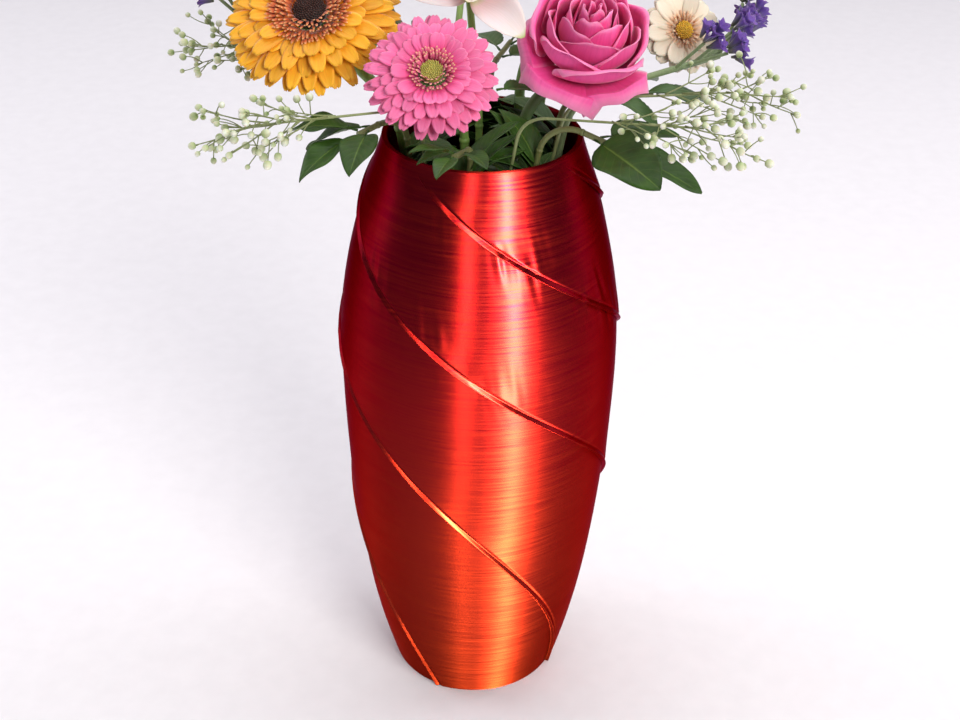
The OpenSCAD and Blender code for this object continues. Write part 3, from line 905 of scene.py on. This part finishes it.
def florets(flower, finish, white):
    """Papery statice cups, frilled at the mouth, with a small white eye."""
    skin = Skin()
    node = flower + "_florets"
    stem = points_of(flower + "_stem")
    for cloud in islands(node):
        axes, _ = spread(cloud)
        mid = (cloud.min(0) + cloud.max(0)) / 2
        near = stem[np.argmin(np.linalg.norm(stem - mid, axis=1))]
        way = axes[0] if axes[0] @ (mid - near) > 0 else -axes[0]
        for k in range(3):
            aim = unit(way + rng.normal(0, 0.38, 3) * (k > 0))
            at = mid - way * 4.5 * MM + rng.normal(0, 1.6, 3) * MM * (k > 0)
            turn = axes_about(aim)
            size = rng.uniform(0.8, 1.15)
            sides = 20
            angle = np.linspace(0, 2 * np.pi, sides, endpoint=False)
            rings = []
            for place, share, frill in CUP:
                r = 3.0 * MM * size * share * (1 + frill * 0.5 * np.cos(5 * angle + k))
                h = 9.5 * MM * size * place + 1.4 * MM * frill * np.sin(5 * angle + 1 + k)
                rings.append(at + np.stack([r * np.cos(angle), r * np.sin(angle), h], axis=1) @ turn.T)
            skin.ring_stack(np.array(rings), rng.uniform(), 0)
            if k == 0:
                skin.pod(at + aim * 5 * MM, aim, 0.9 * MM, 3.5 * MM,
                         [(0, 0.6), (0.5, 1.0), (1.0, 0.4)], 8, 0.9, 1)
    return show(skin.build(node + "_cups", [finish, white]), node)


def stem_finish(name, light, dark):
    """Two colours in blotches, with a grain that runs up the stem."""
    f = Finish(name)
    grain = f.noise(f.coords((810, 810, 90)), 1.0, 3.0)
    blotch = f.noise(f.coords((28, 28, 12)), 1.0, 3.0)
    colour = f.mix(f.span(blotch, 0.35, 0.7), light, dark)
    colour = f.mix(f.span(grain, 0.45, 0.8, 0.0, 0.5), colour, tuple(min(1, c * 1.5) for c in light))
    f.set(Base_Color=colour, Roughness=f.span(grain, 0.3, 0.8, 0.37, 0.60),
          Subsurface_Weight=0.06, Subsurface_Radius=(0.001, 0.002, 0.0005))
    f.bump(grain, 0.4, 0.3 * MM)
    return f.material


def repaint(node, material):
    """A CAD node whose shape is right keeps its mesh and takes a finer finish."""
    slots = frame["nodes"][node].data.materials
    slots.clear()
    slots.append(material)


# ---------------------------------------------------------------- stage

ROOM_BEHIND_CAMERA, ROOM_BEHIND_VASE = 0.20, 0.50   # strength of the room's light from each side


def make_floor():
    size = 5.0
    corners = [(-size, -size, 0), (size, -size, 0), (size, size, 0), (-size, size, 0)]
    mesh = bpy.data.meshes.new("floor")
    mesh.from_pydata(corners, [], [(0, 1, 2, 3)])
    f = Finish("floor_paint")
    grain = f.noise(f.coords((60, 60, 60)), 1.0, 4.0)
    f.set(Base_Color=f.mix(f.span(grain, 0.3, 0.7, 0.0, 1.0), (0.86, 0.84, 0.85), (0.89, 0.87, 0.88)),
          Roughness=0.55, Specular_IOR_Level=0.3)
    mesh.materials.append(f.material)
    floor = bpy.data.objects.new("floor", mesh)
    bpy.context.scene.collection.objects.link(floor)


def make_room():
    """Even pale light, weaker from behind the camera than from behind the vase."""
    world = bpy.data.worlds.new("room")
    world.use_nodes = True
    bpy.context.scene.world = world
    nodes, links = world.node_tree.nodes, world.node_tree.links
    sky = nodes["Background"]
    sky.inputs["Color"].default_value = (0.93, 0.91, 1.0, 1.0)
    kinds = ("TexCoord", "SeparateXYZ", "MapRange")
    way, parts, level = (nodes.new("ShaderNode" + kind) for kind in kinds)
    links.new(way.outputs["Generated"], parts.inputs[0])
    links.new(parts.outputs[1], level.inputs["Value"])
    level.inputs["From Min"].default_value = -0.7
    level.inputs["To Min"].default_value = ROOM_BEHIND_CAMERA
    level.inputs["To Max"].default_value = ROOM_BEHIND_VASE
    links.new(level.outputs[0], sky.inputs["Strength"])


# ---------------------------------------------------------------- the whole scene

add_camera()
make_floor()
make_room()
add_light("overhead", (0.0, 0.7, 2.2), (0, 0, 0), (2.6, 2.0), 28, (1.0, 0.99, 1.0))
add_light("left_window", (-2.2, 0.6, 1.3), (0, 0, 0.25), (1.0, 1.6), 18, (0.93, 0.92, 1.0))
add_light("right_window", (2.2, 0.7, 1.3), (0, 0, 0.25), (1.0, 1.6), 15, (0.96, 0.92, 1.0))
add_light("front_fill", (0.8, -1.5, 1.4), (0, 0, 0.4), (0.9, 0.9), 31, (1.0, 0.97, 0.94))

vase = make_vase()
add_light("streak", (0.62, -1.17, 0.62), (0.0, 0, 0.25), (0.13, 1.2), 320, (1.0, 0.85, 0.35), vase)
add_light("second_streak", (-0.24, -1.30, 0.62), (0.0, 0, 0.25), (0.11, 1.1), 34, (1.0, 0.85, 0.35), vase)

PETALS = {      # how strong the lines along a petal are, and its colours from root to tip
    "orange_ray": (0.30, [(0.0, 0.88, 0.17, 0.004), (0.25, 0.97, 0.38, 0.006), (1.0, 1.0, 0.53, 0.015)]),
    "amber_ray": (0.30, [(0.0, 0.75, 0.10, 0.02), (0.3, 0.90, 0.20, 0.03), (1.0, 0.93, 0.28, 0.06)]),
    "pink_ray": (0.30, [(0.0, 0.80, 0.04, 0.20), (0.3, 0.94, 0.11, 0.34), (1.0, 0.98, 0.24, 0.47)]),
    "cream_ray": (0.15, [(0.0, 0.85, 0.55, 0.36), (0.35, 0.82, 0.71, 0.54), (1.0, 0.84, 0.77, 0.63)]),
    "rose_petal": (0.22, [(0.0, 0.62, 0.02, 0.17), (0.6, 0.84, 0.05, 0.29), (1.0, 0.93, 0.13, 0.41)]),
    "blush_petal": (0.15, [(0.0, 0.80, 0.45, 0.42), (0.6, 0.90, 0.66, 0.62), (1.0, 0.92, 0.75, 0.72)]),
    "white_tepal": (0.12, [(0.0, 0.55, 0.60, 0.25), (0.2, 0.80, 0.56, 0.58), (0.6, 0.80, 0.66, 0.67),
                           (0.93, 0.80, 0.70, 0.67), (1.0, 0.42, 0.55, 0.16)]),
    "streaked_tepal": (0.50, [(0.0, 0.60, 0.60, 0.25), (0.25, 0.90, 0.62, 0.45), (0.9, 0.93, 0.80, 0.76),
                              (1.0, 0.60, 0.60, 0.30)]),
    "dark_eye": (0.20, [(0.0, 0.020, 0.006, 0.004), (0.6, 0.030, 0.008, 0.005), (1.0, 0.12, 0.03, 0.012)]),
    "red_ruff": (0.20, [(0.0, 0.25, 0.02, 0.01), (0.6, 0.72, 0.14, 0.02), (1.0, 0.93, 0.52, 0.20)]),
    "lime_eye": (0.20, [(0.0, 0.20, 0.20, 0.03), (0.7, 0.50, 0.48, 0.08), (1.0, 0.72, 0.62, 0.16)]),
    "pink_ruff": (0.20, [(0.0, 0.60, 0.05, 0.14), (0.6, 0.85, 0.16, 0.30), (1.0, 0.85, 0.60, 0.25)]),
    "gold_eye": (0.20, [(0.0, 0.50, 0.20, 0.02), (0.6, 0.80, 0.45, 0.03), (1.0, 0.92, 0.66, 0.06)]),
    "cream_ruff": (0.35, [(0.0, 0.60, 0.25, 0.08), (0.6, 0.85, 0.55, 0.35), (1.0, 0.90, 0.74, 0.50)]),
    "stamen_skin": (0.20, [(0.0, 0.75, 0.35, 0.35), (1.0, 0.50, 0.30, 0.14)]),
    "bud_skin": (0.15, [(0.0, 0.22, 0.32, 0.10), (0.35, 0.46, 0.52, 0.27), (0.7, 0.72, 0.74, 0.55),
                        (1.0, 0.88, 0.88, 0.78)]),
    "violet_cup": (0.35, [(0.0, 0.10, 0.12, 0.05), (0.35, 0.10, 0.04, 0.30), (1.0, 0.20, 0.07, 0.50)]),
    "statice_eye": (0.10, [(0.0, 0.6, 0.5, 0.6), (1.0, 0.85, 0.80, 0.85)]),
}
PALE_RIMS = {"rose_petal": (0.98, 0.36, 0.58)}
petal = {name: petal_finish(name, stops, streaks, PALE_RIMS.get(name))
         for name, (streaks, stops) in PETALS.items()}

# tiers of rays: how many, their length, lift, droop and height
big_tiers = [(30, 1.0, 2, 16, 0.0), (28, 0.97, 9, 18, 0.03), (26, 0.86, 16, 20, 0.06),
             (24, 0.68, 24, 22, 0.085)]
big_ruff = {"rings": 5, "count": 64, "radius": 0.38, "spread": 0.19, "length": 0.11, "width": 0.030,
            "lift": 42, "height": 0.155}
dark_disc = {"buds": 150, "radius": 0.17, "base": 0.145, "dome": 0.04, "bud": 0.012}
for colour in ("orange", "amber"):
    gerbera(colour + "_gerbera", petal[colour + "_ray"], [petal["red_ruff"], petal["dark_eye"]],
            big_tiers, 0.19, big_ruff, dark_disc)
gerbera("pink_gerbera", petal["pink_ray"], [petal["pink_ruff"], petal["lime_eye"]],
        [(26, 1.0, 4, 14, 0.0), (25, 0.95, 12, 18, 0.04), (23, 0.80, 20, 20, 0.08), (21, 0.60, 30, 24, 0.11)],
        0.215,
        {"rings": 3, "count": 40, "radius": 0.25, "spread": 0.09, "length": 0.11, "width": 0.034, "lift": 58,
         "height": 0.17},
        {"buds": 120, "radius": 0.15, "base": 0.15, "dome": 0.02, "bud": 0.016})
gerbera("cream_gerbera", petal["cream_ray"], [petal["cream_ruff"], petal["gold_eye"]],
        [(14, 1.0, 10, 22, 0.0), (13, 0.94, 20, 26, 0.05)], 0.42,
        {"rings": 2, "count": 26, "radius": 0.30, "spread": 0.08, "length": 0.16, "width": 0.05, "lift": 40,
         "height": 0.12},
        {"buds": 90, "radius": 0.19, "base": 0.12, "dome": 0.06, "bud": 0.024})

rose("pink_rose", petal["rose_petal"], 27, {26: -128, 25: -70, 24: 160})
rose("blush_rose", petal["blush_petal"], 24, {23: -60})

lilies = ("front_alstroemeria", "back_alstroemeria")
for flower in lilies:
    tepals(flower + "_outer_tepals", petal["white_tepal"], 0.22, 1.08)
    tepals(flower + "_inner_tepals", petal["streaked_tepal"], 0.04, 0.84, 0.97)
for flower in lilies:
    stamens(flower, petal["stamen_skin"], "stamen")

wiry = stem_finish("wiry_twig", (0.22, 0.26, 0.10), (0.13, 0.15, 0.06))
for side in ("front_left", "back_left", "front_right", "back_right"):
    buds(side + "_gypsophila", petal["bud_skin"], wiry, "white_bud")
    drawn_stem(side + "_gypsophila_stem", wiry, 1.3 * MM, 0.5 * MM)

statice_green = stem_finish("statice_stalk", (0.20, 0.27, 0.12), (0.12, 0.17, 0.08))
for side in ("right", "left"):
    florets(side + "_statice", petal["violet_cup"], petal["statice_eye"])
    repaint(side + "_statice_stem", statice_green)

dark_leaf = leaf_finish("dark_blade", (0.018, 0.050, 0.005), (0.042, 0.105, 0.010), (0.13, 0.21, 0.03))
grey_leaf = leaf_finish("grey_blade", (0.050, 0.105, 0.032), (0.085, 0.16, 0.055), (0.19, 0.28, 0.11))
rose_leaf = leaf_finish("rose_blade", (0.025, 0.075, 0.010), (0.05, 0.125, 0.018), (0.14, 0.24, 0.05))
leaves("front_foliage_leaves", dark_leaf)
leaves("left_foliage_leaves", dark_leaf)
leaves("right_foliage_leaves", dark_leaf, wave=0.03, droop=10)
for side in ("far_right", "back"):
    leaves(side + "_foliage_leaves", grey_leaf, teeth=0.10)
for flower in ("pink_rose", "blush_rose"):
    leaves(flower + "_leaves", rose_leaf, teeth=0.14)

kept_clear = pulled_stems()
for side, finish, slot, count in [
        ("front", dark_leaf, "dark_leaf", 10), ("left", dark_leaf, "dark_leaf", 9),
        ("right", dark_leaf, "dark_leaf", 11), ("far_right", grey_leaf, "grey_leaf", 8),
        ("back", dark_leaf, "dark_leaf", 14)]:
    mouth_leaves(side + "_foliage_twig", finish, count, kept_clear)

flower_green = stem_finish("flower_stalk", (0.20, 0.33, 0.07), (0.11, 0.21, 0.045))
rose_green = stem_finish("rose_stalk", (0.09, 0.17, 0.05), (0.14, 0.10, 0.04))
twig_green = stem_finish("foliage_stalk", (0.14, 0.16, 0.05), (0.09, 0.08, 0.03))
bract_green = stem_finish("bract", (0.10, 0.20, 0.05), (0.06, 0.13, 0.03))
for colour in ("orange", "pink", "cream", "amber"):
    repaint(colour + "_gerbera_stem", flower_green)
    repaint(colour + "_gerbera_involucre", bract_green)
for flower in ("pink_rose", "blush_rose"):
    repaint(flower + "_stem", rose_green)
    repaint(flower + "_calyx", bract_green)
for flower in lilies:
    repaint(flower + "_stem", flower_green)
for side in ("front", "left", "right", "far_right", "back"):
    repaint(side + "_foliage_twig", twig_green)
